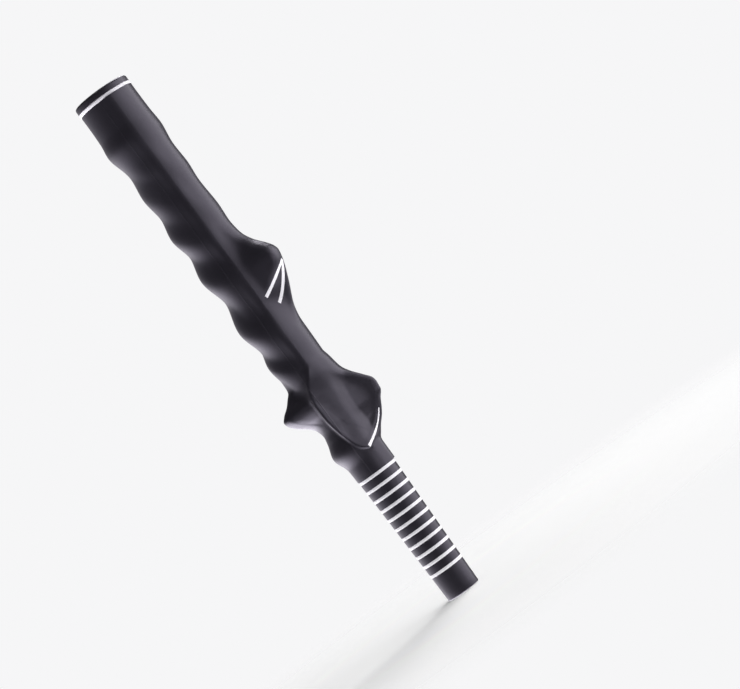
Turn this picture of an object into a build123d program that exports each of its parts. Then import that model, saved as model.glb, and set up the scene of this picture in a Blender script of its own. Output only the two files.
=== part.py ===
"""Moulded rubber training grip for a golf club.

The sleeve is sculpted for two hands: five finger grooves and a trigger hook on the finger side (-X),
and a pad for each thumb on the thumb side (+X).  It is moulded from two rubber blanks that meet on the
plane X = 0, and it carries an end cap, paint-filled rings and paint-filled V marks.

Frame, in millimetres: +Z runs along the shaft bore to the butt end, the origin is the centre of the
mouth, +X is the thumb side and -Y is the front, which faces up when the club is held.
"""
from build123d import *
from math import atan2, cos, degrees, hypot, pi, radians, sin, sqrt
import os

# ---------------------------------------------------------------- driving dimensions
LENGTH = 267.0                # mouth to the top of the end cap
SLEEVE_TOP = 261.9            # where the sleeve meets the neck of the end cap
SHOULDER_Z = 64.4             # where the sculpted sleeve steps down to the ringed tip

# The sleeve's radius along the middle of its finger side and of its thumb side, as (z, radius) at each
# crest, each groove and the few places between them that the line turns at.
FINGER_LINE = [
    (267.0, 13.15), (256.6, 13.0), (248.0, 13.2), (241.1, 13.95), (229.0, 11.35), (218.2, 12.45),
    (207.4, 11.2), (197.0, 12.85), (186.6, 10.85), (175.0, 13.0), (161.6, 10.1), (147.3, 13.0),
    (134.8, 10.2), (127.5, 11.7), (117.1, 10.15), (102.8, 10.0), (90.0, 9.65), (85.5, 10.4),
    (78.5, 12.3), (70.5, 9.8), (62.0, 9.5),
]
THUMB_LINE = [
    (267.0, 13.1), (258.4, 12.95), (248.9, 13.1), (241.1, 13.65), (229.8, 12.15), (220.3, 12.7),
    (210.8, 11.8), (197.9, 12.7), (189.2, 12.1), (166.3, 11.6), (137.4, 11.9), (121.0, 11.55),
    (106.3, 10.8), (89.9, 9.4), (72.6, 9.6), (62.0, 9.45),
]
THUMB_LINE_ANGLE = 10.0       # row angle of the thumb line, in degrees from +X
FINGER_SHARE_POWER = 1.3      # how quickly the finger grooves fade round the sides
GROOVE_LEAN = 0.11            # millimetres that a finger groove drops per degree round the grip
GROOVE_LEAN_ANGLE = 185.0     # row angle at which the grooves are at the heights given above
LEAN_FULL = (222.0, 104.0)    # the grooves lean fully between these heights ...
LEAN_NONE = (241.0, 90.0)     # ... and not at all beyond these

FRONT_TURN = 11.0             # the thumb pads face this many degrees from -Y towards +X

# Upper thumb pad: a thick lobe that ends at a slanting crease, over a thinner tail
PAD_REACH = [
    (190.0, 10.6), (186.6, 11.8), (181.5, 13.5), (176.3, 16.4), (171.1, 20.8), (168.5, 22.5),
    (166.3, 23.1), (163.5, 22.65), (160.7, 21.95), (153.0, 18.85), (145.2, 15.1), (139.1, 12.4),
    (134.0, 9.5),
]
PAD_TIP_REACH = 23.2
LOBE_ROOT = (-0.5, -7.8)
LOBE_TIP_Y = -5.2
LOBE_RADIUS = 3.9
LOBE_TIP_SHARE = 0.975        # how far out the lobe goes, as a share of the pad's reach
TAIL_ROOT = (0.0, -5.0)
TAIL_TIP_Y = -1.9
TAIL_RADIUS = 2.4
TAIL_BLEND = 3.0
LOBE_BLEND = 3.0
CREASE_FOOT = (7.5, 152.5)    # x and z of the crease's lower end
CREASE_SLOPE = 0.725
CREASE_FALL = 0.64            # the lobe slopes in below the crease: 1 would be a step,
CREASE_LEVEL = 0.77           # and this is the share of its own roundness that it keeps
CREASE_BLEND = 1.0

# Trigger hook for the forefinger
HOOK_REACH = [
    (124.0, 6.0), (118.0, 9.9), (114.0, 10.8), (111.5, 13.0), (108.9, 15.4), (106.3, 18.7),
    (103.9, 20.4), (101.8, 19.8), (98.5, 17.0), (95.9, 13.5), (93.3, 11.0), (90.0, 9.3), (86.0, 6.0),
]
HOOK_ANGLE = 202.3            # degrees from +X
HOOK_TIP_RADIUS = 3.8
HOOK_ROOT_RADIUS = 8.4
HOOK_ROOT = (-2.6, -3.2)
HOOK_GROWTH = (5.2, 16.2)     # the root moves out to there as the hook's tip grows between these
HOOK_EDGE = (-20.0, -9.0, 103.7)   # a point on the edge between the hook's front and its underside
HOOK_EDGE_FALL = 0.57         # how the edge falls towards the grip
HOOK_UNDER_SLOPE = 1.0        # how the underside falls towards the back
HOOK_BLEND = 2.0
HOOK_EDGE_BLEND = 1.0

# Lower thumb pad: a leaf with a dished front, a raised rim on its left and a flat back
LEAF_REACH = [
    (120.0, 9.5), (116.7, 11.3), (111.5, 12.9), (106.3, 15.8), (101.1, 20.0), (97.5, 22.8),
    (95.0, 23.5), (92.5, 23.6), (88.2, 20.5), (83.0, 17.2), (77.8, 12.95), (74.3, 10.5), (70.0, 7.0),
]
LEAF_RIM_X = [
    (118.0, 3.5), (113.7, 0.6), (109.5, -2.6), (105.5, -4.4), (100.5, -5.0), (95.2, -4.9),
    (89.2, -4.1), (82.7, -2.4), (76.3, 0.6), (73.9, 4.2), (71.0, 9.0),
]
LEAF_RIM_HEIGHT = [
    (118.0, 10.2), (111.5, 12.1), (104.0, 13.4), (94.0, 13.2), (85.0, 12.3), (78.0, 11.4),
    (74.5, 10.6), (72.0, 8.5), (70.0, 7.0),
]
LEAF_TIP_HEIGHT = [
    (118.0, 7.0), (111.5, 5.0), (103.0, 3.0), (95.0, 1.7), (86.0, 1.8), (80.0, 4.5), (76.0, 8.0),
    (72.0, 8.5),
]
DISH_SPAN = (-0.40, 0.98)     # where the dish starts and stops falling, as shares of rim to tip
LEAF_FRONT_SHARPNESS = 0.9
LEAF_BACK = (8.6, 0.14)       # y of the flat back at x = 0, and its slope towards the tip
LEAF_BACK_LEFT = 6.5          # distance from the axis to the face that cuts the back's left corner
LEAF_BACK_BLEND = 3.0
LEAF_BLEND = (1.0, 6.0)       # fillet to the grip, low down and where the leaf begins
LEAF_EDGE_BLEND = (1.0, 6.0)  # rounding of the leaf's edge, low down and where the leaf begins
LEAF_BLEND_HEIGHTS = (100.0, 113.0)
LEAF_BEVEL = [(99.0, 0.0), (92.0, 2.0), (86.0, 2.2), (83.0, 3.0), (79.3, 4.8), (74.6, 7.0)]
LEAF_BEVEL_BLENDS = (1.2, 0.8)

# Ringed tip
MOUTH_RADIUS = 7.9
TIP_MIDDLE_RADIUS = 8.55
TIP_TOP_RADIUS = 9.3
MOUTH_ROUND = 0.6
TIP_RINGS = 11
FIRST_RING_Z = 63.4
RING_PITCH = 5.03
RING_WIDTH = 1.4
RING_DEPTH = 0.5

# Bore, end cap and marks
LAND_RADIUS = 5.4             # the parallel land at the mouth, which grips the shaft
LAND_LENGTH = 25.0
CORE_TOP_RADIUS = 7.35
SPIGOT_END_Z = 257.0
CAP_BOTTOM = 263.3
CAP_RADIUS = 13.3
CAP_EDGE_ROUND = 1.1
CAP_DOME = 0.5
BUTT_RING_RADIUS = 13.25
NECK_RADIUS = 11.6
VENT_RADIUS = 1.5
MARK_WIDTH = 1.35
MARK_DEPTH = 0.4
MARK_REACH = 30.0
UPPER_V_STROKES = [
    [(21.1, 161.6), (13.9, 156.7), (6.1, 152.4)],
    [(21.1, 161.6), (15.6, 153.4), (9.2, 147.2)],
]
LOWER_FRONT_STROKE = [(17.0, 85.6), (11.8, 79.8), (4.1, 74.9)]
LOWER_BACK_STROKE = [(20.4, 90.0), (15.4, 82.6), (6.4, 74.8)]

# Resolution of the sculpted skin, and the core that its points are looked for from
CORE_SHIFT = -3.0             # the core lies this far forwards behind the upper pad ...
CORE_UPPER = (190.0, 176.0)   # ... coming in between these heights ...
CORE_LOWER = (138.0, 150.0)   # ... and going out between these
SKIN_STEP_Z = 2.0
SKIN_STEP_ANGLE = 5.0
SEARCH_START = 26.0
SEARCH_STEP = 0.5
SEARCH_HALVINGS = 12


# ---------------------------------------------------------------- shape of the sculpted sleeve
def curve_through(stations):
    """A smooth curve through (x, y) stations that never overshoots them."""
    stations = sorted(stations)
    xs = [x for x, _ in stations]
    ys = [y for _, y in stations]
    gaps = [b - a for a, b in zip(xs, xs[1:])]
    slopes = [(b - a) / gap for a, b, gap in zip(ys, ys[1:], gaps)]
    tangents = [slopes[0]]
    for before, after in zip(slopes, slopes[1:]):
        same_way = before * after > 0
        tangents.append(2 * before * after / (before + after) if same_way else 0.0)
    tangents.append(slopes[-1])

    def value(x):
        x = min(max(x, xs[0]), xs[-1])
        i = 0
        while i < len(gaps) - 1 and x > xs[i + 1]:
            i += 1
        t = (x - xs[i]) / gaps[i]
        rise = t * t * (3 - 2 * t)
        leave = t * (1 - t) ** 2 * gaps[i] * tangents[i]
        arrive = t * t * (t - 1) * gaps[i] * tangents[i + 1]
        return ys[i] * (1 - rise) + ys[i + 1] * rise + leave + arrive

    return value


finger_line = curve_through(FINGER_LINE)
thumb_line = curve_through(THUMB_LINE)
pad_reach = curve_through(PAD_REACH)
hook_reach = curve_through(HOOK_REACH)
leaf_reach = curve_through(LEAF_REACH)
leaf_rim_x = curve_through(LEAF_RIM_X)
leaf_rim_height = curve_through(LEAF_RIM_HEIGHT)
leaf_tip_height = curve_through(LEAF_TIP_HEIGHT)
leaf_bevel = curve_through(LEAF_BEVEL)


def ramp(start, end, x):
    t = min(max((x - start) / (end - start), 0.0), 1.0)
    return t * t * (3 - 2 * t)


def ease(start, end, x):
    """Like ramp, but without a visible change of curvature at its ends."""
    t = min(max((x - start) / (end - start), 0.0), 1.0)
    return t * t * t * (t * (6 * t - 15) + 10)


def join(a, b, blend):
    """The nearer of two distances, with a fillet of about the blend's size where they meet."""
    overlap = max(blend - abs(a - b), 0.0) / blend
    return min(a, b) - overlap * overlap * blend / 4


def common(a, b, blend):
    """The farther of two distances, with an edge rounded by about the blend's size."""
    return -join(-a, -b, blend)


def bar(x, y, root, tip, root_radius, tip_radius):
    """Distance to a bar with round ends, whose radius changes evenly from root to tip."""
    dx = tip[0] - root[0]
    dy = tip[1] - root[1]
    along = ((x - root[0]) * dx + (y - root[1]) * dy) / (dx * dx + dy * dy)
    along = min(max(along, 0.0), 1.0)
    radius = root_radius + (tip_radius - root_radius) * along
    return hypot(x - root[0] - along * dx, y - root[1] - along * dy) - radius


def sleeve_body(x, y, z):
    """Round body with leaning finger grooves."""
    angle = (degrees(atan2(y, x)) - THUMB_LINE_ANGLE) % 360.0
    finger_share = ((1 - cos(radians(angle))) / 2) ** FINGER_SHARE_POWER
    lean = ramp(LEAN_NONE[0], LEAN_FULL[0], z) * ramp(LEAN_NONE[1], LEAN_FULL[1], z)
    groove_z = z + GROOVE_LEAN * (angle + THUMB_LINE_ANGLE - GROOVE_LEAN_ANGLE) * lean
    thumb = thumb_line(z)
    return hypot(x, y) - thumb - finger_share * (finger_line(groove_z) - thumb)


def upper_pad(x, y, z):
    """The two distances to the upper thumb pad: its tail and its lobe."""
    reach = pad_reach(z)
    spread = reach / PAD_TIP_REACH
    tail = bar(x, y, TAIL_ROOT, (reach - TAIL_RADIUS, TAIL_TIP_Y * spread), TAIL_RADIUS, TAIL_RADIUS)
    lobe_root = (LOBE_ROOT[0], LOBE_ROOT[1] * spread)
    lobe_tip = (LOBE_TIP_SHARE * (reach - LOBE_RADIUS), LOBE_TIP_Y * spread)
    lobe = bar(x, y, lobe_root, lobe_tip, LOBE_RADIUS, LOBE_RADIUS)
    crease_z = CREASE_FOOT[1] + CREASE_SLOPE * (x - CREASE_FOOT[0])
    below_crease = (crease_z - z) / hypot(1, CREASE_SLOPE)
    return tail, common(lobe, CREASE_FALL * below_crease + CREASE_LEVEL * lobe, CREASE_BLEND)


def trigger_hook(x, y, z):
    reach = hook_reach(z) - HOOK_TIP_RADIUS
    growth = (reach - HOOK_GROWTH[0]) / (HOOK_GROWTH[1] - HOOK_GROWTH[0])
    growth = min(max(growth, 0.0), 1.0)
    root = (HOOK_ROOT[0] * growth, HOOK_ROOT[1] * growth)
    tip = (reach * cos(radians(HOOK_ANGLE)), reach * sin(radians(HOOK_ANGLE)))
    hook = bar(x, y, root, tip, HOOK_ROOT_RADIUS, HOOK_TIP_RADIUS)
    edge_x, edge_y, edge_z = HOOK_EDGE
    under = edge_z - z - HOOK_EDGE_FALL * (x - edge_x) - HOOK_UNDER_SLOPE * (y - edge_y)
    under /= sqrt(1 + HOOK_EDGE_FALL ** 2 + HOOK_UNDER_SLOPE ** 2)
    return common(hook, under, HOOK_EDGE_BLEND)


def blend_by_height(blends, z):
    """The lower pad's blend: the first value low down, growing to the second where the pad begins."""
    return blends[0] + (blends[1] - blends[0]) * ramp(*LEAF_BLEND_HEIGHTS, z)


def lower_pad(x, y, z):
    """Leaf-shaped pad: dished front, raised rim, flat back and a bevelled lower edge."""
    turn = radians(FRONT_TURN)
    across = x * cos(turn) + y * sin(turn)
    depth = -x * sin(turn) + y * cos(turn)
    rim = leaf_rim_x(z)
    reach = leaf_reach(z)
    tip_height = leaf_tip_height(z)
    share = min(max((across - rim) / (reach - rim), 0.0), 1.0)
    left = (1 - ease(*DISH_SPAN, share)) / (1 - ease(*DISH_SPAN, 0.0))
    height = tip_height + (leaf_rim_height(z) - tip_height) * left
    front = -(depth + height) * LEAF_FRONT_SHARPNESS
    rim_wall = rim - across
    back = y - LEAF_BACK[0] + LEAF_BACK[1] * x
    back_left = 0.8 * y - 0.6 * x - LEAF_BACK_LEFT
    outline = hypot(x, y / 2) - reach
    bevel = leaf_bevel(z)
    edge_blend = blend_by_height(LEAF_EDGE_BLEND, z)
    front_edge = (across - reach - depth - height + bevel) / hypot(1, 1)
    back_edge = (x - reach + back + bevel) / hypot(1, 1)
    leaf = common(common(front, rim_wall, 1.8), common(outline, back, LEAF_BACK_BLEND), edge_blend)
    leaf = common(common(leaf, front_edge, LEAF_BEVEL_BLENDS[0]), back_edge, LEAF_BEVEL_BLENDS[1])
    return common(leaf, back_left, 1.0)


def sleeve_distance(x, y, z):
    """Below zero inside the sculpted sleeve, above zero outside it."""
    tail, lobe = upper_pad(x, y, z)
    shape = join(join(sleeve_body(x, y, z), tail, TAIL_BLEND), lobe, LOBE_BLEND)
    shape = join(shape, trigger_hook(x, y, z), HOOK_BLEND)
    return join(shape, lower_pad(x, y, z), blend_by_height(LEAF_BLEND, z))


def skin_point(angle, z):
    """The point of the sculpted sleeve seen from its core at an angle in degrees from +X."""
    core_y = CORE_SHIFT * ramp(*CORE_UPPER, z) * ramp(*CORE_LOWER, z)
    ux = cos(radians(angle))
    uy = sin(radians(angle))
    far = SEARCH_START
    while sleeve_distance(far * ux, core_y + far * uy, z) > 0:
        far -= SEARCH_STEP
    near = far
    far += SEARCH_STEP
    for _ in range(SEARCH_HALVINGS):
        middle = (near + far) / 2
        if sleeve_distance(middle * ux, core_y + middle * uy, z) > 0:
            far = middle
        else:
            near = middle
    return Vector(near * ux, core_y + near * uy, z)


# ---------------------------------------------------------------- solids
def sculpted_outlines():
    """Points round the sculpted sleeve, at evenly spaced heights, each round starting at +X."""
    rows = round((SLEEVE_TOP - SHOULDER_Z) / SKIN_STEP_Z) + 1
    points = round(360.0 / SKIN_STEP_ANGLE)
    heights = [SHOULDER_Z + (SLEEVE_TOP - SHOULDER_Z) * row / (rows - 1) for row in range(rows)]
    return [[skin_point(SKIN_STEP_ANGLE * i, z) for i in range(points)] for z in heights]


def sculpted_log(outlines, start_angle):
    """The sculpted sleeve as one solid with no bore, whose surface starts and ends at an angle."""
    points = len(outlines[0])
    first = round(start_angle / SKIN_STEP_ANGLE)
    parameters = [i / points for i in range(points + 1)]
    sections = [
        Wire([Edge.make_spline(outline[first:] + outline[:first], periodic=True, parameters=parameters)])
        for outline in outlines
    ]
    return Solid.make_loft(sections)


def turned(outline):
    """Solid of revolution about Z.  The closed outline is drawn with X as radius and Y as height."""
    return revolve(Plane.XZ * make_face(outline), axis=Axis.Z)


def polygon(*points):
    return Polyline(*points, close=True)


def ringed_tip():
    """Solid tip under the rings: a slim hollow-sided taper with a rounded mouth edge."""
    side = ThreePointArc(
        (MOUTH_RADIUS, MOUTH_ROUND), (TIP_MIDDLE_RADIUS, FIRST_RING_Z / 2), (TIP_TOP_RADIUS, FIRST_RING_Z)
    )
    top = side @ 1 + (side % 1) * (SHOULDER_Z + 2 - FIRST_RING_Z)
    mouth_corner = MOUTH_RADIUS - MOUTH_ROUND
    mouth_edge = ThreePointArc(
        (mouth_corner, 0),
        (mouth_corner + MOUTH_ROUND * sin(pi / 4), MOUTH_ROUND * (1 - cos(pi / 4))),
        (MOUTH_RADIUS, MOUTH_ROUND),
    )
    outline = mouth_edge + side + Polyline(side @ 1, top, (0, top.Y), (0, 0), (mouth_corner, 0))
    return turned(outline)


def tip_radius(z):
    """Radius of the tip on a curve through its mouth, middle and top radii."""
    t = 2 * z / FIRST_RING_Z - 1
    chord_middle = (MOUTH_RADIUS + TIP_TOP_RADIUS) / 2
    bow = TIP_MIDDLE_RADIUS - chord_middle
    return chord_middle + (TIP_TOP_RADIUS - MOUTH_RADIUS) / 2 * t + bow * (1 - t * t)


def tip_ring(tip, index):
    """One paint-filled ring, flush with the side of the tip."""
    z = FIRST_RING_Z - RING_PITCH * index
    inner = tip_radius(z) - RING_DEPTH
    band = Pos(0, 0, z) * (Cylinder(2 * TIP_TOP_RADIUS, RING_WIDTH) - Cylinder(inner, RING_WIDTH))
    return tip & band


def shaft_bore():
    """Space for the shaft: a parallel land at the mouth, then the tapered core."""
    return turned(polygon(
        (0, -1), (LAND_RADIUS, -1), (LAND_RADIUS, LAND_LENGTH), (CORE_TOP_RADIUS, SPIGOT_END_Z),
        (CORE_TOP_RADIUS, LENGTH), (0, LENGTH),
    ))


def end_cap():
    """Cap with a domed top, a neck that seats the butt ring, a spigot and a vent hole."""
    rim_top = LENGTH - CAP_DOME - CAP_EDGE_ROUND
    rim_inner = CAP_RADIUS - CAP_EDGE_ROUND
    edge = ThreePointArc(
        (CAP_RADIUS, rim_top),
        (rim_inner + CAP_EDGE_ROUND * cos(pi / 4), rim_top + CAP_EDGE_ROUND * sin(pi / 4)),
        (rim_inner, LENGTH - CAP_DOME),
    )
    dome = ThreePointArc(
        (rim_inner, LENGTH - CAP_DOME),
        (rim_inner / 2, LENGTH - CAP_DOME / 4),
        (0, LENGTH),
    )
    below = Polyline(
        (0, LENGTH), (0, SPIGOT_END_Z), (CORE_TOP_RADIUS, SPIGOT_END_Z), (CORE_TOP_RADIUS, SLEEVE_TOP),
        (NECK_RADIUS, SLEEVE_TOP), (NECK_RADIUS, CAP_BOTTOM), (CAP_RADIUS, CAP_BOTTOM),
        (CAP_RADIUS, rim_top),
    )
    return turned(edge + dome + below) - Pos(0, 0, LENGTH) * Cylinder(VENT_RADIUS, LENGTH / 2)


def butt_ring():
    height = CAP_BOTTOM - SLEEVE_TOP
    ring = Cylinder(BUTT_RING_RADIUS, height) - Cylinder(NECK_RADIUS, height)
    return Pos(0, 0, SLEEVE_TOP + height / 2) * ring


def bowed(points):
    """A stroke through three points."""
    return ThreePointArc(*points)


def mark(log, strokes, turn, start_depth, direction, inward):
    """Paint-filled mark: strokes drawn across and up, carried onto the skin along their plane's depth.

    The plane is turned about Z, start_depth is where the strokes start behind the bore's axis, and
    direction is -1 towards the front or 1 towards the back.  inward is how the groove's floor lies.
    """
    prism = extrude(Plane.XZ * trace(strokes, line_width=MARK_WIDTH), amount=-direction * MARK_REACH)
    prism = Rot(0, 0, turn) * Pos(0, start_depth, 0) * prism
    inlay = (prism & log) - Pos(*inward) * log
    return max(inlay.solids(), key=lambda solid: solid.volume)


# ---------------------------------------------------------------- the whole grip
os.makedirs("parts", exist_ok=True)

outlines = sculpted_outlines()
tip = ringed_tip()
rings = {f"tip_ring_{i + 1:02d}": tip_ring(tip, i) for i in range(TIP_RINGS)}

# A surface that starts on the far side is cut cleanly on the near side, so each half has its own.
thumb_log = sculpted_log(outlines, 180.0)
finger_log = sculpted_log(outlines, 0.0)

upper_v = bowed(UPPER_V_STROKES[0]) + bowed(UPPER_V_STROKES[1])
lower_front = bowed(LOWER_FRONT_STROKE)
lower_back = bowed(LOWER_BACK_STROKE)
marks = {
    "upper_v_mark": mark(thumb_log, upper_v, FRONT_TURN, 0.0, -1, (-0.12, MARK_DEPTH, 0.12)),
    "lower_mark_front": mark(thumb_log, lower_front, FRONT_TURN, 1.0, -1, (-0.25, MARK_DEPTH, 0.12)),
    "lower_mark_back": mark(thumb_log, lower_back, FRONT_TURN, 1.5, 1, (-0.25, -MARK_DEPTH, 0.12)),
}


def sleeve_half(log, side, inlays):
    """Half of the sleeve on one side of X = 0, with its half of the bore and its inlays' grooves."""
    block = Box(60, 60, 2 * LENGTH, align=(side, Align.CENTER, Align.CENTER))
    half = (log + tip - shaft_bore()) & block
    for inlay in inlays:
        half -= inlay
    return half


nodes = {
    "thumb_side_half": sleeve_half(thumb_log, Align.MIN, [*marks.values(), *rings.values()]),
    "finger_side_half": sleeve_half(finger_log, Align.MAX, rings.values()),
    "end_cap": end_cap(),
    "butt_ring": butt_ring(),
    **rings,
    **marks,
}
for name, solid in nodes.items():
    export_step(solid, f"parts/{name}.step")
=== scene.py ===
"""Looks of the moulded rubber training grip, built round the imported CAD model.

Metres, +Z along the bore to the butt.  The sleeve's shape is worked out in millimetres, by the same
rules as the CAD model, and meshed finely here; the cap, rings and marks are meshed to match it.
"""
from math import cos, pi, radians, sin

import bpy
import numpy as np
from mathutils import Matrix, Vector


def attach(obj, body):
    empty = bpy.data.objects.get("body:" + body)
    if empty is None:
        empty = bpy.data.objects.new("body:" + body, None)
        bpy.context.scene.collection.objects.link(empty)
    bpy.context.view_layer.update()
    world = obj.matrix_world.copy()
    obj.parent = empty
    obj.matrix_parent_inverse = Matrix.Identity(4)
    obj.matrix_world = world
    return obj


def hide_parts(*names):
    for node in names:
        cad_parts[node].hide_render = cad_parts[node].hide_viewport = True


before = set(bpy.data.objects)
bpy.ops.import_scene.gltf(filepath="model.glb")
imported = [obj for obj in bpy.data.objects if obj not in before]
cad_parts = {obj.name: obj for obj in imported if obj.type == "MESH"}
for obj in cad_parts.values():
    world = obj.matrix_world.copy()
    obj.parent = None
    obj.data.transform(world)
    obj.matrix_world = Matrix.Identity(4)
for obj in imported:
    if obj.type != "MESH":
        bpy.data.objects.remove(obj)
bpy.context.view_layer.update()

MM = 0.001

# ---------------------------------------------------------------- sizes shared with the CAD model, in mm
LENGTH = 267.0
SLEEVE_TOP = 261.9
SHOULDER_Z = 64.4

FINGER_LINE = [
    (267.0, 13.15), (256.6, 13.0), (248.0, 13.2), (241.1, 13.95), (229.0, 11.35), (218.2, 12.45),
    (207.4, 11.2), (197.0, 12.85), (186.6, 10.85), (175.0, 13.0), (161.6, 10.1), (147.3, 13.0),
    (134.8, 10.2), (127.5, 11.7), (117.1, 10.15), (102.8, 10.0), (90.0, 9.65), (85.5, 10.4),
    (78.5, 12.3), (70.5, 9.8), (62.0, 9.5),
]
THUMB_LINE = [
    (267.0, 13.1), (258.4, 12.95), (248.9, 13.1), (241.1, 13.65), (229.8, 12.15), (220.3, 12.7),
    (210.8, 11.8), (197.9, 12.7), (189.2, 12.1), (166.3, 11.6), (137.4, 11.9), (121.0, 11.55),
    (106.3, 10.8), (89.9, 9.4), (72.6, 9.6), (62.0, 9.45),
]
THUMB_LINE_ANGLE = 10.0
FINGER_SHARE_POWER = 1.3
GROOVE_LEAN = 0.11
GROOVE_LEAN_ANGLE = 185.0        # degrees from +X at which a groove is at its stated height
LEAN_FULL = (222.0, 104.0)
LEAN_NONE = (241.0, 90.0)

FRONT_TURN = 11.0

PAD_REACH = [
    (190.0, 10.6), (186.6, 11.8), (181.5, 13.5), (176.3, 16.4), (171.1, 20.8), (168.5, 22.5),
    (166.3, 23.1), (163.5, 22.65), (160.7, 21.95), (153.0, 18.85), (145.2, 15.1), (139.1, 12.4),
    (134.0, 9.5),
]
PAD_TIP_REACH = 23.2
LOBE_ROOT = (-0.5, -7.8)
LOBE_TIP_Y = -5.2
LOBE_RADIUS = 3.9
LOBE_TIP_SHARE = 0.975
TAIL_ROOT = (0.0, -5.0)
TAIL_TIP_Y = -1.9
TAIL_RADIUS = 2.4
TAIL_BLEND = 3.0
LOBE_BLEND = 3.0
CREASE_FOOT = (7.5, 152.5)
CREASE_SLOPE = 0.725
CREASE_FALL = 0.64
CREASE_LEVEL = 0.77
CREASE_BLEND = 1.0

HOOK_REACH = [
    (124.0, 6.0), (118.0, 9.9), (114.0, 10.8), (111.5, 13.0), (108.9, 15.4), (106.3, 18.7),
    (103.9, 20.4), (101.8, 19.8), (98.5, 17.0), (95.9, 13.5), (93.3, 11.0), (90.0, 9.3), (86.0, 6.0),
]
HOOK_ANGLE = 202.3
HOOK_TIP_RADIUS = 3.8
HOOK_ROOT_RADIUS = 8.4
HOOK_ROOT = (-2.6, -3.2)
HOOK_EDGE = (-20.0, -9.0, 103.7)
HOOK_EDGE_FALL = 0.57
HOOK_UNDER_SLOPE = 1.0
HOOK_GROWTH = (5.2, 16.2)
HOOK_BLEND = 2.0
HOOK_EDGE_BLEND = 1.0

LEAF_REACH = [
    (120.0, 9.5), (116.7, 11.3), (111.5, 12.9), (106.3, 15.8), (101.1, 20.0), (97.5, 22.8),
    (95.0, 23.5), (92.5, 23.6), (88.2, 20.5), (83.0, 17.2), (77.8, 12.95), (74.3, 10.5), (70.0, 7.0),
]
LEAF_RIM_X = [
    (118.0, 3.5), (113.7, 0.6), (109.5, -2.6), (105.5, -4.4), (100.5, -5.0), (95.2, -4.9),
    (89.2, -4.1), (82.7, -2.4), (76.3, 0.6), (73.9, 4.2), (71.0, 9.0),
]
LEAF_RIM_HEIGHT = [
    (118.0, 10.2), (111.5, 12.1), (104.0, 13.4), (94.0, 13.2), (85.0, 12.3), (78.0, 11.4),
    (74.5, 10.6), (72.0, 8.5), (70.0, 7.0),
]
LEAF_TIP_HEIGHT = [
    (118.0, 7.0), (111.5, 5.0), (103.0, 3.0), (95.0, 1.7), (86.0, 1.8), (80.0, 4.5), (76.0, 8.0),
    (72.0, 8.5),
]
DISH_SPAN = (-0.40, 0.98)
LEAF_BLEND = (1.0, 6.0)
LEAF_BLEND_HEIGHTS = (100.0, 113.0)
LEAF_FRONT_SHARPNESS = 0.9
LEAF_RIM_BLEND = 1.8
LEAF_BACK = (8.6, 0.14)
LEAF_BACK_LEFT = (-0.6, 0.8, 6.5)   # the way this face looks across x and y, and how far out it lies
LEAF_BACK_BLEND = 3.0
LEAF_CORNER_BLEND = 1.0
LEAF_BEVEL = [(99.0, 0.0), (92.0, 2.0), (86.0, 2.2), (83.0, 3.0), (79.3, 4.8), (74.6, 7.0)]
LEAF_BEVEL_BLENDS = (1.2, 0.8)
LEAF_EDGE_BLEND = (1.0, 6.0)

CORE_SHIFT = -3.0                # the core that the skin is looked for from lies this far forwards ...
CORE_UPPER = (190.0, 176.0)      # ... behind the upper pad, coming in between these heights ...
CORE_LOWER = (138.0, 150.0)      # ... and going out between these
SEARCH_START = 5.0
SEARCH_END = 26.0
SEARCH_STEP = 0.6
SEARCH_HALVINGS = 14

MOUTH_RADIUS = 7.9
TIP_MIDDLE_RADIUS = 8.55
TIP_TOP_RADIUS = 9.3
MOUTH_ROUND = 0.6
TIP_RINGS = 11
FIRST_RING_Z = 63.4
RING_PITCH = 5.03
RING_WIDTH = 1.4

LAND_RADIUS = 5.4
LAND_LENGTH = 25.0
CORE_TOP_RADIUS = 7.35
SPIGOT_END_Z = 257.0
CAP_BOTTOM = 263.3
CAP_RADIUS = 13.3
CAP_EDGE_ROUND = 1.1
CAP_DOME = 0.5
BUTT_RING_RADIUS = 13.25
NECK_RADIUS = 11.6
VENT_RADIUS = 1.5
VENT_CHAMFER = 0.3
CAP_CHAMFER = 0.15
BUTT_PAINT_DEPTH = 1.4

# ---------------------------------------------------------------- camera
CAMERA_AZIMUTH = radians(11.0)   # azimuth 0 looks along +Y
CAMERA_ROLL = radians(36.17)     # how far the grip leans across the picture
CAMERA_DISTANCE = 1.30
LENS_MM = 146.4
AIM_HEIGHT = 0.1223              # the picture's middle: this point on the bore's axis, moved ...
AIM_RIGHT = 0.0316               # ... this far to the picture's right ...
AIM_UP = 0.0076                  # ... and this far up the picture


# ---------------------------------------------------------------- shape of the sleeve
def curve_through(stations):
    """A smooth curve through (x, y) stations that never overshoots them, for arrays of x."""
    stations = sorted(stations)
    xs = np.array([x for x, _ in stations])
    ys = np.array([y for _, y in stations])
    gaps = np.diff(xs)
    slopes = np.diff(ys) / gaps
    tangents = np.zeros(len(xs))
    tangents[0] = slopes[0]
    tangents[-1] = slopes[-1]
    for i in range(1, len(slopes)):
        if slopes[i - 1] * slopes[i] > 0:
            tangents[i] = 2 * slopes[i - 1] * slopes[i] / (slopes[i - 1] + slopes[i])

    def value(x):
        x = np.clip(x, xs[0], xs[-1])
        i = np.clip(np.searchsorted(xs, x) - 1, 0, len(gaps) - 1)
        t = (x - xs[i]) / gaps[i]
        rise = t * t * (3 - 2 * t)
        leave = t * (1 - t) ** 2 * gaps[i] * tangents[i]
        arrive = t * t * (t - 1) * gaps[i] * tangents[i + 1]
        return ys[i] * (1 - rise) + ys[i + 1] * rise + leave + arrive

    return value


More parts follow.
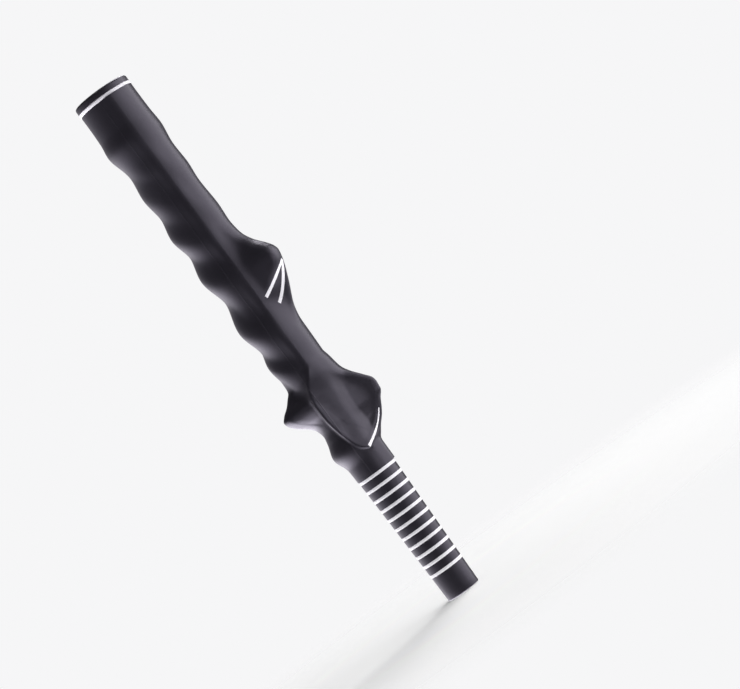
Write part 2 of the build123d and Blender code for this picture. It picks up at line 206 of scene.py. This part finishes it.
finger_line = curve_through(FINGER_LINE)
thumb_line = curve_through(THUMB_LINE)
pad_reach = curve_through(PAD_REACH)
hook_reach = curve_through(HOOK_REACH)
leaf_reach = curve_through(LEAF_REACH)
leaf_rim_x = curve_through(LEAF_RIM_X)
leaf_rim_height = curve_through(LEAF_RIM_HEIGHT)
leaf_tip_height = curve_through(LEAF_TIP_HEIGHT)
leaf_bevel = curve_through(LEAF_BEVEL)


def ramp(start, end, x):
    """0 up to start, 1 from end on, and a smooth step between them."""
    t = np.clip((x - start) / (end - start), 0.0, 1.0)
    return t * t * (3 - 2 * t)


def ease(start, end, x):
    """Like ramp, but without a visible change of curvature at its ends."""
    t = np.clip((x - start) / (end - start), 0.0, 1.0)
    return t * t * t * (t * (6 * t - 15) + 10)


def join(a, b, blend):
    """The nearer of two distances, with a fillet of about the blend's size where they meet."""
    overlap = np.maximum(blend - np.abs(a - b), 0.0) / blend
    return np.minimum(a, b) - overlap * overlap * blend / 4


def common(a, b, blend):
    """The farther of two distances, with an edge rounded by about the blend's size."""
    return -join(-a, -b, blend)


def bar(x, y, root, tip, root_radius, tip_radius):
    """Distance to a bar with round ends, whose radius changes evenly from root to tip."""
    dx = tip[0] - root[0]
    dy = tip[1] - root[1]
    along = np.clip(((x - root[0]) * dx + (y - root[1]) * dy) / (dx * dx + dy * dy), 0.0, 1.0)
    radius = root_radius + (tip_radius - root_radius) * along
    return np.hypot(x - root[0] - along * dx, y - root[1] - along * dy) - radius


def sleeve_body(x, y, z):
    """Round body with leaning finger grooves."""
    angle = (np.degrees(np.arctan2(y, x)) - THUMB_LINE_ANGLE) % 360.0
    finger_share = ((1 - np.cos(np.radians(angle))) / 2) ** FINGER_SHARE_POWER
    lean = ramp(LEAN_NONE[0], LEAN_FULL[0], z) * ramp(LEAN_NONE[1], LEAN_FULL[1], z)
    groove_z = z + GROOVE_LEAN * (angle + THUMB_LINE_ANGLE - GROOVE_LEAN_ANGLE) * lean
    thumb = thumb_line(z)
    return np.hypot(x, y) - thumb - finger_share * (finger_line(groove_z) - thumb)


def upper_pad(x, y, z):
    """The two distances to the upper thumb pad: its tail and its lobe."""
    reach = pad_reach(z)
    spread = reach / PAD_TIP_REACH
    tail = bar(x, y, TAIL_ROOT, (reach - TAIL_RADIUS, TAIL_TIP_Y * spread), TAIL_RADIUS, TAIL_RADIUS)
    lobe_tip = (LOBE_TIP_SHARE * (reach - LOBE_RADIUS), LOBE_TIP_Y * spread)
    lobe_root = (LOBE_ROOT[0], LOBE_ROOT[1] * spread)
    lobe = bar(x, y, lobe_root, lobe_tip, LOBE_RADIUS, LOBE_RADIUS)
    crease_z = CREASE_FOOT[1] + CREASE_SLOPE * (x - CREASE_FOOT[0])
    below_crease = (crease_z - z) / np.hypot(1, CREASE_SLOPE)
    return tail, common(lobe, CREASE_FALL * below_crease + CREASE_LEVEL * lobe, CREASE_BLEND)


def trigger_hook(x, y, z):
    """Distance to the hook on the finger side, whose underside is a slanting plane."""
    reach = hook_reach(z) - HOOK_TIP_RADIUS
    growth = np.clip((reach - HOOK_GROWTH[0]) / (HOOK_GROWTH[1] - HOOK_GROWTH[0]), 0.0, 1.0)
    root = (HOOK_ROOT[0] * growth, HOOK_ROOT[1] * growth)
    tip = (reach * cos(radians(HOOK_ANGLE)), reach * sin(radians(HOOK_ANGLE)))
    hook = bar(x, y, root, tip, HOOK_ROOT_RADIUS, HOOK_TIP_RADIUS)
    edge_x, edge_y, edge_z = HOOK_EDGE
    under = edge_z - z - HOOK_EDGE_FALL * (x - edge_x) - HOOK_UNDER_SLOPE * (y - edge_y)
    under = under / np.sqrt(1 + HOOK_EDGE_FALL ** 2 + HOOK_UNDER_SLOPE ** 2)
    return common(hook, under, HOOK_EDGE_BLEND)


def blend_by_height(blends, z):
    """A blend of the lower pad: the first value low down, growing to the second where it begins."""
    return blends[0] + (blends[1] - blends[0]) * ramp(*LEAF_BLEND_HEIGHTS, z)


def lower_pad(x, y, z):
    """Leaf-shaped pad: dished front, raised rim, flat back and a bevelled lower edge."""
    turn = radians(FRONT_TURN)
    across = x * cos(turn) + y * sin(turn)
    depth = -x * sin(turn) + y * cos(turn)
    rim = leaf_rim_x(z)
    reach = leaf_reach(z)
    tip_height = leaf_tip_height(z)
    share = np.clip((across - rim) / (reach - rim), 0.0, 1.0)
    left = (1 - ease(*DISH_SPAN, share)) / (1 - ease(*DISH_SPAN, 0.0))
    height = tip_height + (leaf_rim_height(z) - tip_height) * left
    front = -(depth + height) * LEAF_FRONT_SHARPNESS
    rim_wall = rim - across
    back = y - LEAF_BACK[0] + LEAF_BACK[1] * x
    facing_x, facing_y, face_distance = LEAF_BACK_LEFT
    back_left = facing_x * x + facing_y * y - face_distance
    outline = np.hypot(x, y / 2) - reach
    bevel = leaf_bevel(z)
    soft = blend_by_height(LEAF_EDGE_BLEND, z)
    front_edge = (across - reach - depth - height + bevel) / np.hypot(1, 1)
    back_edge = (x - reach + back + bevel) / np.hypot(1, 1)
    flat = common(outline, back, LEAF_BACK_BLEND)
    leaf = common(common(front, rim_wall, LEAF_RIM_BLEND), flat, soft)
    leaf = common(common(leaf, front_edge, LEAF_BEVEL_BLENDS[0]), back_edge, LEAF_BEVEL_BLENDS[1])
    return common(leaf, back_left, LEAF_CORNER_BLEND)


def sleeve_distance(x, y, z):
    """Below zero inside the sculpted sleeve, above zero outside it."""
    tail, lobe = upper_pad(x, y, z)
    shape = join(join(sleeve_body(x, y, z), tail, TAIL_BLEND), lobe, LOBE_BLEND)
    shape = join(shape, trigger_hook(x, y, z), HOOK_BLEND)
    return join(shape, lower_pad(x, y, z), blend_by_height(LEAF_BLEND, z))


def skin_points(angles, heights):
    """Points of the sculpted sleeve, as x, y and z arrays, for angles in degrees seen from its core."""
    z, angle = np.meshgrid(heights, np.radians(angles), indexing="ij")
    core_y = CORE_SHIFT * ramp(*CORE_UPPER, z) * ramp(*CORE_LOWER, z)
    ux = np.cos(angle)
    uy = np.sin(angle)
    near = np.zeros_like(z)
    for distance in np.arange(SEARCH_START, SEARCH_END, SEARCH_STEP):
        inside = sleeve_distance(distance * ux, core_y + distance * uy, z) < 0
        near = np.where(inside, distance, near)
    far = near + SEARCH_STEP
    for _ in range(SEARCH_HALVINGS):
        middle = (near + far) / 2
        inside = sleeve_distance(middle * ux, core_y + middle * uy, z) < 0
        near = np.where(inside, middle, near)
        far = np.where(inside, far, middle)
    return near * ux, core_y + near * uy, z


# ---------------------------------------------------------------- meshes
def mesh_object(name, points, faces, smooth=True):
    """An object in the scene, made of points in metres and faces of their indices."""
    mesh = bpy.data.meshes.new(name)
    mesh.from_pydata([tuple(p) for p in points], [], faces)
    mesh.validate()
    mesh.update()
    for polygon in mesh.polygons:
        polygon.use_smooth = smooth
    piece = bpy.data.objects.new(name, mesh)
    bpy.context.scene.collection.objects.link(piece)
    return piece


def band(first, second, count, closed=True):
    """Quads between two rows of points that start at the indices given."""
    steps = range(count) if closed else range(count - 1)
    return [(first + i, first + (i + 1) % count, second + (i + 1) % count, second + i) for i in steps]


def lathe(name, outline, turns=192):
    """A closed ring turned round the Z axis from a closed (radius, height) outline in mm."""
    angles = np.linspace(0.0, 2 * pi, turns, endpoint=False)
    points = [
        (radius * MM * cos(a), radius * MM * sin(a), height * MM)
        for radius, height in outline
        for a in angles
    ]
    faces = []
    for row in range(len(outline)):
        following = (row + 1) % len(outline)
        faces += band(row * turns, following * turns, turns)
    return mesh_object(name, points, faces)


# ---------------------------------------------------------------- the two halves of the sleeve
SEAM_HEIGHT = 0.08               # flash line left by the mould where the halves meet, in mm
SEAM_WIDTH = 0.22
GROOVE_DEPTH = 0.5               # of the ring grooves round the tip
ROW_STEP = 0.5
PAINT_WIDTH = 1.55               # of a mark's stroke, a hair wider than its groove
LOWER_FRONT_START = 0.35         # share of that width where the stroke starts
LOWER_BACK_START = 0.6
RAY_START = 24.0                 # rays that look for the skin start this far from the axis
RAY_STEP = 0.1
RAY_HALVINGS = 12
SLOPE_STEP = 0.05
SETTLING_STEPS = 5
FRONT = -1                       # the side that a mark is seen from
BACK = 1

# Marks, as points of their strokes across the turned front and up the grip
UPPER_V_STROKES = [
    [(21.1, 161.6), (13.9, 156.7), (6.1, 152.4)],
    [(21.1, 161.6), (15.6, 153.4), (9.2, 147.2)],
]
LOWER_FRONT_STROKE = [(17.0, 85.6), (11.8, 79.8), (4.1, 74.9)]
LOWER_BACK_STROKE = [(20.4, 90.0), (15.4, 82.6), (6.4, 74.8)]


def tip_radius(z):
    """Radius of the ringed tip, on the arc through its mouth, middle and top radii."""
    middle_z = FIRST_RING_Z / 2
    chord_middle = (MOUTH_RADIUS + TIP_TOP_RADIUS) / 2
    bow = TIP_MIDDLE_RADIUS - chord_middle
    t = (np.asarray(z) - middle_z) / middle_z
    return chord_middle + (TIP_TOP_RADIUS - MOUTH_RADIUS) / 2 * t + bow * (1 - t * t)


def bore_radius(z):
    """Radius of the bore: a straight land at the mouth, then an even taper up to the cap."""
    taper = (CORE_TOP_RADIUS - LAND_RADIUS) / (SPIGOT_END_Z - LAND_LENGTH)
    return np.clip(LAND_RADIUS + taper * (np.asarray(z) - LAND_LENGTH), LAND_RADIUS, CORE_TOP_RADIUS)


def tip_profile():
    """(radius, height) rows from the rounded mouth to the shoulder, stepping into each ring's groove."""
    corner = MOUTH_RADIUS - MOUTH_ROUND
    rows = [
        (corner + MOUTH_ROUND * sin(t), MOUTH_ROUND * (1 - cos(t)))
        for t in np.linspace(0, pi / 2, 6)
    ]
    for i in reversed(range(TIP_RINGS)):
        low = FIRST_RING_Z - RING_PITCH * i - RING_WIDTH / 2
        high = low + RING_WIDTH
        start = rows[-1][1]
        for z in np.linspace(start, low, 5)[1:]:
            rows.append((float(tip_radius(z)), float(z)))
        rows.append((float(tip_radius(low)) - GROOVE_DEPTH, low))
        rows.append((float(tip_radius(high)) - GROOVE_DEPTH, high))
        rows.append((float(tip_radius(high)), high))
    rows.append((float(tip_radius(SHOULDER_Z)), SHOULDER_Z))
    return rows


def half_angles():
    """Angles across one half, closer together beside the two seams, from 0 to 180 degrees."""
    beside = [0.0, 0.4, 0.8, 1.4, 2.2]
    return np.array(beside + list(np.arange(3.0, 177.5, 1.0)) + [180.0 - a for a in reversed(beside)])


def sleeve_half(name, first_angle):
    """One half of the sleeve as a closed solid: its skin, its half of the bore and the parting faces."""
    angles = first_angle + half_angles()
    directions = np.radians(angles)
    profile = tip_profile()
    heights = np.arange(SHOULDER_Z, SLEEVE_TOP + ROW_STEP / 2, ROW_STEP)
    heights[-1] = SLEEVE_TOP
    tip_radii = np.array([radius for radius, _ in profile])[:, None]
    tip_z = np.array([z for _, z in profile])[:, None] * np.ones_like(directions)
    skin_x, skin_y, skin_z = skin_points(angles, heights)
    x = np.vstack([tip_radii * np.cos(directions), skin_x])
    y = np.vstack([tip_radii * np.sin(directions), skin_y])
    z = np.vstack([tip_z, skin_z])
    flash = SEAM_HEIGHT * np.clip(1 - np.abs(x) / SEAM_WIDTH, 0, 1) * (z >= SHOULDER_Z)
    y = y + np.sign(y) * flash
    inner = bore_radius(z)
    outside = np.stack([x, y, z], axis=-1)
    inside = np.stack([inner * np.cos(directions), inner * np.sin(directions), z], axis=-1)
    rows = np.concatenate([outside, inside[:, ::-1]], axis=1) * MM
    count = rows.shape[1]
    half = count // 2
    faces = []
    for row in range(rows.shape[0] - 1):
        faces += band(row * count, (row + 1) * count, count)
    top = (rows.shape[0] - 1) * count
    for i in range(half - 1):
        faces.append((i + 1, i, count - 1 - i, count - 2 - i))
        faces.append((top + i, top + i + 1, top + count - 2 - i, top + count - 1 - i))
    piece = mesh_object(name, rows.reshape(-1, 3), faces)
    piece.data.set_sharp_from_angle(angle=radians(40))
    return piece


thumb_side = sleeve_half("thumb_side_rubber", -90.0)
finger_side = sleeve_half("finger_side_rubber", 90.0)


# ---------------------------------------------------------------- cap, rings and marks
def arc(centre, radius, start, end, steps=6):
    """(radius, height) points on a rounded edge, from one angle to the other in degrees."""
    return [
        (centre[0] + radius * cos(radians(a)), centre[1] + radius * sin(radians(a)))
        for a in np.linspace(start, end, steps)
    ]


def end_cap():
    """Domed cap on its neck and spigot, with the vent hole through it."""
    rim_top = LENGTH - CAP_DOME - CAP_EDGE_ROUND
    rim_inner = CAP_RADIUS - CAP_EDGE_ROUND
    dome = [
        (radius, LENGTH - CAP_DOME * (radius / rim_inner) ** 2)
        for radius in np.linspace(rim_inner, VENT_RADIUS + VENT_CHAMFER, 14)[1:]
    ]
    outline = [
        (VENT_RADIUS, SPIGOT_END_Z), (CORE_TOP_RADIUS, SPIGOT_END_Z), (CORE_TOP_RADIUS, SLEEVE_TOP),
        (NECK_RADIUS, SLEEVE_TOP), (NECK_RADIUS, CAP_BOTTOM), (CAP_RADIUS - CAP_CHAMFER, CAP_BOTTOM),
        (CAP_RADIUS, CAP_BOTTOM + CAP_CHAMFER),
        *arc((rim_inner, rim_top), CAP_EDGE_ROUND, 0, 90, 8), *dome, (VENT_RADIUS, LENGTH - VENT_CHAMFER),
    ]
    piece = lathe("butt_cap_rubber", outline)
    piece.data.set_sharp_from_angle(angle=radians(40))
    return piece


def paint_band(name, low, high, radius_at, depth, proud=0.03, soften=0.08):
    """A ring of paint between two heights, a hair proud of the rubber, with softened edges."""
    outline = [
        (radius_at(low) - depth, low), (radius_at(low), low), (radius_at(low) + proud, low + soften),
        (radius_at(high) + proud, high - soften), (radius_at(high), high), (radius_at(high) - depth, high),
    ]
    piece = lathe(name, outline)
    piece.data.set_sharp_from_angle(angle=radians(60))
    return piece


def on_skin(across, heights, direction):
    """Points where rays in the turned plane's depth first meet the sleeve, as an array of (x, y, z)."""
    turn = radians(FRONT_TURN)
    across = np.asarray(across)
    heights = np.asarray(heights)

    def at(depth):
        return across * cos(turn) - depth * sin(turn), across * sin(turn) + depth * cos(turn)

    depth = np.full(across.shape, direction * RAY_START)
    found = np.zeros(across.shape, bool)
    for _ in range(round(RAY_START / RAY_STEP)):
        x, y = at(depth)
        found = found | (sleeve_distance(x, y, heights) < 0)
        depth = np.where(found, depth, depth - direction * RAY_STEP)
    near = depth
    far = depth + direction * RAY_STEP
    for _ in range(RAY_HALVINGS):
        middle = (near + far) / 2
        x, y = at(middle)
        inside = sleeve_distance(x, y, heights) < 0
        near = np.where(inside, middle, near)
        far = np.where(inside, far, middle)
    x, y = at(near)
    return np.stack([x, y, heights], axis=-1)


def skin_slope(points):
    """How fast the sleeve's distance grows along x, y and z at an array of (x, y, z) points."""
    step = SLOPE_STEP
    x, y, z = np.moveaxis(points, -1, 0)
    return np.stack([
        sleeve_distance(x + step, y, z) - sleeve_distance(x - step, y, z),
        sleeve_distance(x, y + step, z) - sleeve_distance(x, y - step, z),
        sleeve_distance(x, y, z + step) - sleeve_distance(x, y, z - step),
    ], axis=-1) / (2 * step)


def unit(vectors):
    """The vectors, each at a length of one."""
    return vectors / np.linalg.norm(vectors, axis=-1, keepdims=True)


def settled(points):
    """The points moved straight onto the sleeve's skin."""
    for _ in range(SETTLING_STEPS):
        slope = skin_slope(points)
        distance = sleeve_distance(*np.moveaxis(points, -1, 0))[..., None]
        points = points - slope * distance / np.sum(slope * slope, axis=-1, keepdims=True)
    return points


def stroke_rows(path, direction, first_width, proud=0.05, depth=0.3, lanes=7):
    """Cross sections of paint along a path of (across, height) points, each a closed loop of points."""
    middle = on_skin(path[:, 0], path[:, 1], direction)
    along = unit(np.gradient(middle, axis=0))
    sideways = unit(np.cross(skin_slope(middle), along))
    lane = np.linspace(-0.5, 0.5, lanes)
    width = PAINT_WIDTH * np.linspace(first_width, 1.0, len(path))
    offsets = lane[None, :, None] * width[:, None, None] * sideways[:, None, :]
    skin = settled(middle[:, None, :] + offsets)
    normal = unit(skin_slope(skin))
    edge = np.abs(lane) > 0.45
    lift = np.where(edge, 0.0, proud)[None, :, None]
    upper = skin + normal * lift
    lower = skin - normal * depth
    return np.concatenate([upper, lower[:, ::-1]], axis=1) * MM


def paint_stroke(name, strokes, direction, first_width=1.0):
    """One painted mark made of strokes that widen from a share of the full width."""
    points = []
    faces = []
    for stroke in strokes:
        rows = stroke_rows(bowed(*stroke), direction, first_width)
        count = rows.shape[1]
        first = len(points)
        points += [tuple(p) for row in rows for p in row]
        for row in range(rows.shape[0] - 1):
            faces += band(first + row * count, first + (row + 1) * count, count)
        last = first + (rows.shape[0] - 1) * count
        faces.append(tuple(first + i for i in reversed(range(count))))
        faces.append(tuple(last + i for i in range(count)))
    piece = mesh_object(name, points, faces)
    piece.data.set_sharp_from_angle(angle=radians(50))
    return piece


def bowed(start, middle, end, steps=60):
    """A parabola through three points, the middle one half way along."""
    t = np.linspace(0, 1, steps)[:, None]
    a, m, b = (np.array(p) for p in (start, middle, end))
    return a * (1 - t) * (1 - 2 * t) + m * 4 * t * (1 - t) + b * t * (2 * t - 1)


cap = end_cap()
butt_band = paint_band(
    "butt_ring_paint", SLEEVE_TOP, CAP_BOTTOM, lambda z: BUTT_RING_RADIUS, BUTT_PAINT_DEPTH,
)
bands = []
for i in range(TIP_RINGS):
    middle = FIRST_RING_Z - RING_PITCH * i
    low, high = middle - RING_WIDTH / 2, middle + RING_WIDTH / 2
    bands.append(paint_band(f"tip_ring_paint_{i + 1:02d}", low, high, tip_radius, GROOVE_DEPTH))
upper_v = paint_stroke("upper_v_paint", UPPER_V_STROKES, FRONT)
lower_front = paint_stroke("lower_front_paint", [LOWER_FRONT_STROKE], FRONT, LOWER_FRONT_START)
lower_back = paint_stroke("lower_back_paint", [LOWER_BACK_STROKE], BACK, LOWER_BACK_START)


# ---------------------------------------------------------------- materials
CORNER_CREST = (0.52, 0.62)      # pointiness from which, and up to which, an edge is rubbed pale
RUBBED_SHARE = 0.35
CLOUD_SHARE = 0.45
GLOSS_SPREAD = 0.03
GRAIN_STRENGTH = 0.25
RUBBER_TINT = (0.92, 0.88, 1.0)


def shader(name):
    """A new material, its nodes, its links and its Principled shader."""
    material = bpy.data.materials.new(name)
    material.use_nodes = True
    nodes = material.node_tree.nodes
    return material, nodes, material.node_tree.links, nodes["Principled BSDF"]


def noise(nodes, links, scale, detail, roughness=0.5):
    """Noise on the piece's own coordinates, in cycles per metre."""
    place = nodes.new("ShaderNodeTexCoord")
    texture = nodes.new("ShaderNodeTexNoise")
    texture.inputs["Scale"].default_value = scale
    texture.inputs["Detail"].default_value = detail
    texture.inputs["Roughness"].default_value = roughness
    links.new(place.outputs["Object"], texture.inputs["Vector"])
    return texture.outputs["Fac"]


def spread(nodes, links, value, low, high):
    """The value's middle range stretched to run from low to high."""
    node = nodes.new("ShaderNodeMapRange")
    node.inputs["From Min"].default_value = 0.3
    node.inputs["From Max"].default_value = 0.7
    node.inputs["To Min"].default_value = low
    node.inputs["To Max"].default_value = high
    links.new(value, node.inputs["Value"])
    return node.outputs["Result"]


def mixed(nodes, links, share, low, high):
    """A colour between two, by share."""
    node = nodes.new("ShaderNodeMix")
    node.data_type = "RGBA"
    node.inputs["A"].default_value = (*low, 1.0)
    node.inputs["B"].default_value = (*high, 1.0)
    links.new(share, node.inputs["Factor"])
    return node.outputs["Result"]


def bumped(nodes, links, value, strength, distance, under=None):
    """A bump made from the value, on top of another bump where one is given."""
    node = nodes.new("ShaderNodeBump")
    node.inputs["Strength"].default_value = strength
    node.inputs["Distance"].default_value = distance
    links.new(value, node.inputs["Height"])
    if under is not None:
        links.new(under, node.inputs["Normal"])
    return node.outputs["Normal"]


def rubber(name, dark, pale, roughness, grain):
    """Satin moulded rubber: faint mottling, uneven gloss, rubbed edges and a fine grain."""
    material, nodes, links, skin = shader(name)
    cloud = noise(nodes, links, scale=55.0, detail=3.0)
    speck = noise(nodes, links, scale=900.0, detail=2.0)
    fine = noise(nodes, links, scale=2600.0, detail=2.0)
    edge = nodes.new("ShaderNodeNewGeometry").outputs["Pointiness"]
    worn = nodes.new("ShaderNodeMapRange")
    worn.inputs["From Min"].default_value = CORNER_CREST[0]
    worn.inputs["From Max"].default_value = CORNER_CREST[1]
    worn.inputs["To Min"].default_value = 0.0
    worn.inputs["To Max"].default_value = RUBBED_SHARE
    links.new(edge, worn.inputs["Value"])
    share = nodes.new("ShaderNodeMath")
    share.operation = "ADD"
    share.use_clamp = True
    links.new(spread(nodes, links, cloud, 0.0, CLOUD_SHARE), share.inputs[0])
    links.new(worn.outputs["Result"], share.inputs[1])
    links.new(mixed(nodes, links, share.outputs["Value"], dark, pale), skin.inputs["Base Color"])
    gloss = spread(nodes, links, speck, roughness - GLOSS_SPREAD, roughness + GLOSS_SPREAD)
    links.new(gloss, skin.inputs["Roughness"])
    coarse = bumped(nodes, links, speck, GRAIN_STRENGTH, grain)
    finest = bumped(nodes, links, fine, GRAIN_STRENGTH, grain / 2, coarse)
    links.new(finest, skin.inputs["Normal"])
    skin.inputs["Specular IOR Level"].default_value = 0.5
    skin.inputs["Specular Tint"].default_value = (*RUBBER_TINT, 1.0)
    return material


def paint(name, clean, soiled):
    """White paint fill: slightly uneven cover, soiled in patches, with a soft sheen."""
    material, nodes, links, skin = shader(name)
    cloud = noise(nodes, links, scale=240.0, detail=4.0, roughness=0.6)
    fine = noise(nodes, links, scale=1800.0, detail=2.0)
    share = spread(nodes, links, cloud, low=0.0, high=0.6)
    links.new(mixed(nodes, links, share, clean, soiled), skin.inputs["Base Color"])
    links.new(spread(nodes, links, cloud, low=0.38, high=0.5), skin.inputs["Roughness"])
    links.new(bumped(nodes, links, fine, strength=0.3, distance=0.00003), skin.inputs["Normal"])
    return material


sleeve_rubber = rubber(
    "sleeve_rubber", dark=(0.0095, 0.0088, 0.0118), pale=(0.017, 0.016, 0.020), roughness=0.39, grain=0.00003,
)
cap_rubber = rubber(
    "cap_rubber", dark=(0.0085, 0.0080, 0.0105), pale=(0.015, 0.014, 0.018), roughness=0.40, grain=0.00002,
)
paint_fill = paint("paint_fill", clean=(0.88, 0.88, 0.88), soiled=(0.74, 0.74, 0.73))


def dress(piece, material, slot, *replaced):
    """Gives a piece its material and hides the CAD nodes that it stands for; the slot given is not used."""
    piece.data.materials.append(material)
    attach(piece, "root")
    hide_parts(*replaced)


dress(thumb_side, sleeve_rubber, "sleeve_rubber", "thumb_side_half")
dress(finger_side, sleeve_rubber, "sleeve_rubber", "finger_side_half")
dress(cap, cap_rubber, "cap_rubber", "end_cap")
dress(butt_band, paint_fill, "paint_fill", "butt_ring")
for i, ring in enumerate(bands):
    dress(ring, paint_fill, "paint_fill", f"tip_ring_{i + 1:02d}")
dress(upper_v, paint_fill, "paint_fill", "upper_v_mark")
dress(lower_front, paint_fill, "paint_fill", "lower_mark_front")
dress(lower_back, paint_fill, "paint_fill", "lower_mark_back")


# ---------------------------------------------------------------- floor, surroundings and lights
SURROUND = (0.922, 0.922, 0.930)
STUDIO_TINT = (0.95, 0.92, 1.0)
FLOOR_COLOUR = (0.90, 0.93, 0.855)
FLOOR_REACH = 0.30               # the floor melts into the surroundings by this radius ...
FLOOR_FULL = 0.06                # ... and is solid within this one
FLOOR_GLOW = 0.17
GLOW_LEAST = 0.13
GLOW_MOST = 9.0
GLOW_FROM = (-0.40, 0.23, -0.88)  # the side that the soft glow comes from
GLOW_REACH = 0.1                 # how far past a right angle from there it reaches, as a cosine
GLOW_FOCUS = 3.5


def plain_floor():
    """A pale floor that melts into the surroundings and still takes a soft shadow."""
    turns = 96
    angles = np.linspace(0.0, 2 * pi, turns, endpoint=False)
    rim = [(FLOOR_REACH * cos(a), FLOOR_REACH * sin(a), 0.0) for a in angles]
    floor = mesh_object("studio_floor", rim, [tuple(range(turns))], smooth=False)
    material, nodes, links, skin = shader("studio_floor")
    skin.inputs["Base Color"].default_value = (*FLOOR_COLOUR, 1.0)
    skin.inputs["Roughness"].default_value = 0.9
    skin.inputs["Specular IOR Level"].default_value = 0.0
    skin.inputs["Emission Color"].default_value = (*SURROUND, 1.0)
    skin.inputs["Emission Strength"].default_value = FLOOR_GLOW
    place = nodes.new("ShaderNodeTexCoord")
    radius = nodes.new("ShaderNodeVectorMath")
    radius.operation = "LENGTH"
    links.new(place.outputs["Object"], radius.inputs[0])
    fade = nodes.new("ShaderNodeMapRange")
    fade.interpolation_type = "SMOOTHSTEP"
    fade.inputs["From Min"].default_value = FLOOR_FULL
    fade.inputs["From Max"].default_value = FLOOR_REACH
    fade.inputs["To Min"].default_value = 1.0
    fade.inputs["To Max"].default_value = 0.0
    links.new(radius.outputs["Value"], fade.inputs["Value"])
    links.new(fade.outputs["Result"], skin.inputs["Alpha"])
    floor.data.materials.append(material)
    floor.visible_glossy = False
    floor.visible_shadow = False
    return floor


plain_floor()

world = bpy.data.worlds.new("studio")
bpy.context.scene.world = world
world.use_nodes = True
world_nodes = world.node_tree.nodes
world_links = world.node_tree.links
seen = world_nodes["Background"]
seen.inputs["Color"].default_value = (*SURROUND, 1.0)
glow = world_nodes.new("ShaderNodeBackground")
glow.inputs["Color"].default_value = (*STUDIO_TINT, 1.0)
direction = world_nodes.new("ShaderNodeTexCoord")
facing = world_nodes.new("ShaderNodeVectorMath")
facing.operation = "DOT_PRODUCT"
facing.inputs[1].default_value = Vector(GLOW_FROM).normalized()
world_links.new(direction.outputs["Generated"], facing.inputs[0])
above_edge = world_nodes.new("ShaderNodeMath")
above_edge.operation = "ADD"
above_edge.use_clamp = True
above_edge.inputs[1].default_value = GLOW_REACH
world_links.new(facing.outputs["Value"], above_edge.inputs[0])
shaped = world_nodes.new("ShaderNodeMath")
shaped.operation = "POWER"
shaped.inputs[1].default_value = GLOW_FOCUS
world_links.new(above_edge.outputs["Value"], shaped.inputs[0])
strength = world_nodes.new("ShaderNodeMapRange")
strength.inputs["To Min"].default_value = GLOW_LEAST
strength.inputs["To Max"].default_value = GLOW_MOST
world_links.new(shaped.outputs["Value"], strength.inputs["Value"])
world_links.new(strength.outputs["Result"], glow.inputs["Strength"])
which = world_nodes.new("ShaderNodeMixShader")
ray = world_nodes.new("ShaderNodeLightPath")
world_links.new(ray.outputs["Is Camera Ray"], which.inputs["Fac"])
world_links.new(glow.outputs["Background"], which.inputs[1])
world_links.new(seen.outputs["Background"], which.inputs[2])
world_links.new(which.outputs["Shader"], world_nodes["World Output"].inputs["Surface"])


def softbox(name, azimuth, elevation, distance, width, height, power):
    """A rectangular light facing the middle of the grip; azimuth 0 is on the -Y side."""
    light = bpy.data.lights.new(name, "AREA")
    light.shape = "RECTANGLE"
    light.size = width
    light.size_y = height
    light.energy = power
    light.color = STUDIO_TINT
    a, e = radians(azimuth), radians(elevation)
    away = Vector((sin(a) * cos(e), -cos(a) * cos(e), sin(e)))
    lamp = bpy.data.objects.new(name, light)
    lamp.location = Vector((0, 0, LENGTH * MM / 2)) + away * distance
    lamp.rotation_mode = "QUATERNION"
    lamp.rotation_quaternion = away.to_track_quat("Z", "Y")
    lamp.visible_camera = False
    bpy.context.scene.collection.objects.link(lamp)
    return lamp


softbox("key_panel", azimuth=108.0, elevation=8.0, distance=1.0, width=1.3, height=1.0, power=12.0)
softbox("side_panel", azimuth=62.0, elevation=8.0, distance=1.1, width=0.9, height=1.0, power=2.6)
softbox("leaf_panel", azimuth=50.0, elevation=-6.5, distance=0.32, width=0.16, height=0.06, power=0.07)
softbox("back_panel", azimuth=165.0, elevation=45.0, distance=1.2, width=0.5, height=0.5, power=8.0)
softbox("overhead", azimuth=30.0, elevation=80.0, distance=1.4, width=0.8, height=0.8, power=3.0)

# ---------------------------------------------------------------- camera
sideways = Vector((cos(CAMERA_AZIMUTH), sin(CAMERA_AZIMUTH), 0.0))
axis = Vector((0.0, 0.0, 1.0))
back = Vector((sin(CAMERA_AZIMUTH), -cos(CAMERA_AZIMUTH), 0.0))
right = sideways * cos(CAMERA_ROLL) - axis * sin(CAMERA_ROLL)
up = sideways * sin(CAMERA_ROLL) + axis * cos(CAMERA_ROLL)
lens = bpy.data.cameras.new("camera")
lens.lens = LENS_MM
lens.sensor_width = 36.0
camera = bpy.data.objects.new("camera", lens)
camera.matrix_world = Matrix((
    (right.x, up.x, back.x, 0.0),
    (right.y, up.y, back.y, 0.0),
    (right.z, up.z, back.z, 0.0),
    (0.0, 0.0, 0.0, 1.0),
))
camera.location = axis * AIM_HEIGHT + right * AIM_RIGHT + up * AIM_UP + back * CAMERA_DISTANCE
bpy.context.scene.collection.objects.link(camera)
bpy.context.scene.camera = camera
bpy.context.scene.view_settings.view_transform = "Standard"
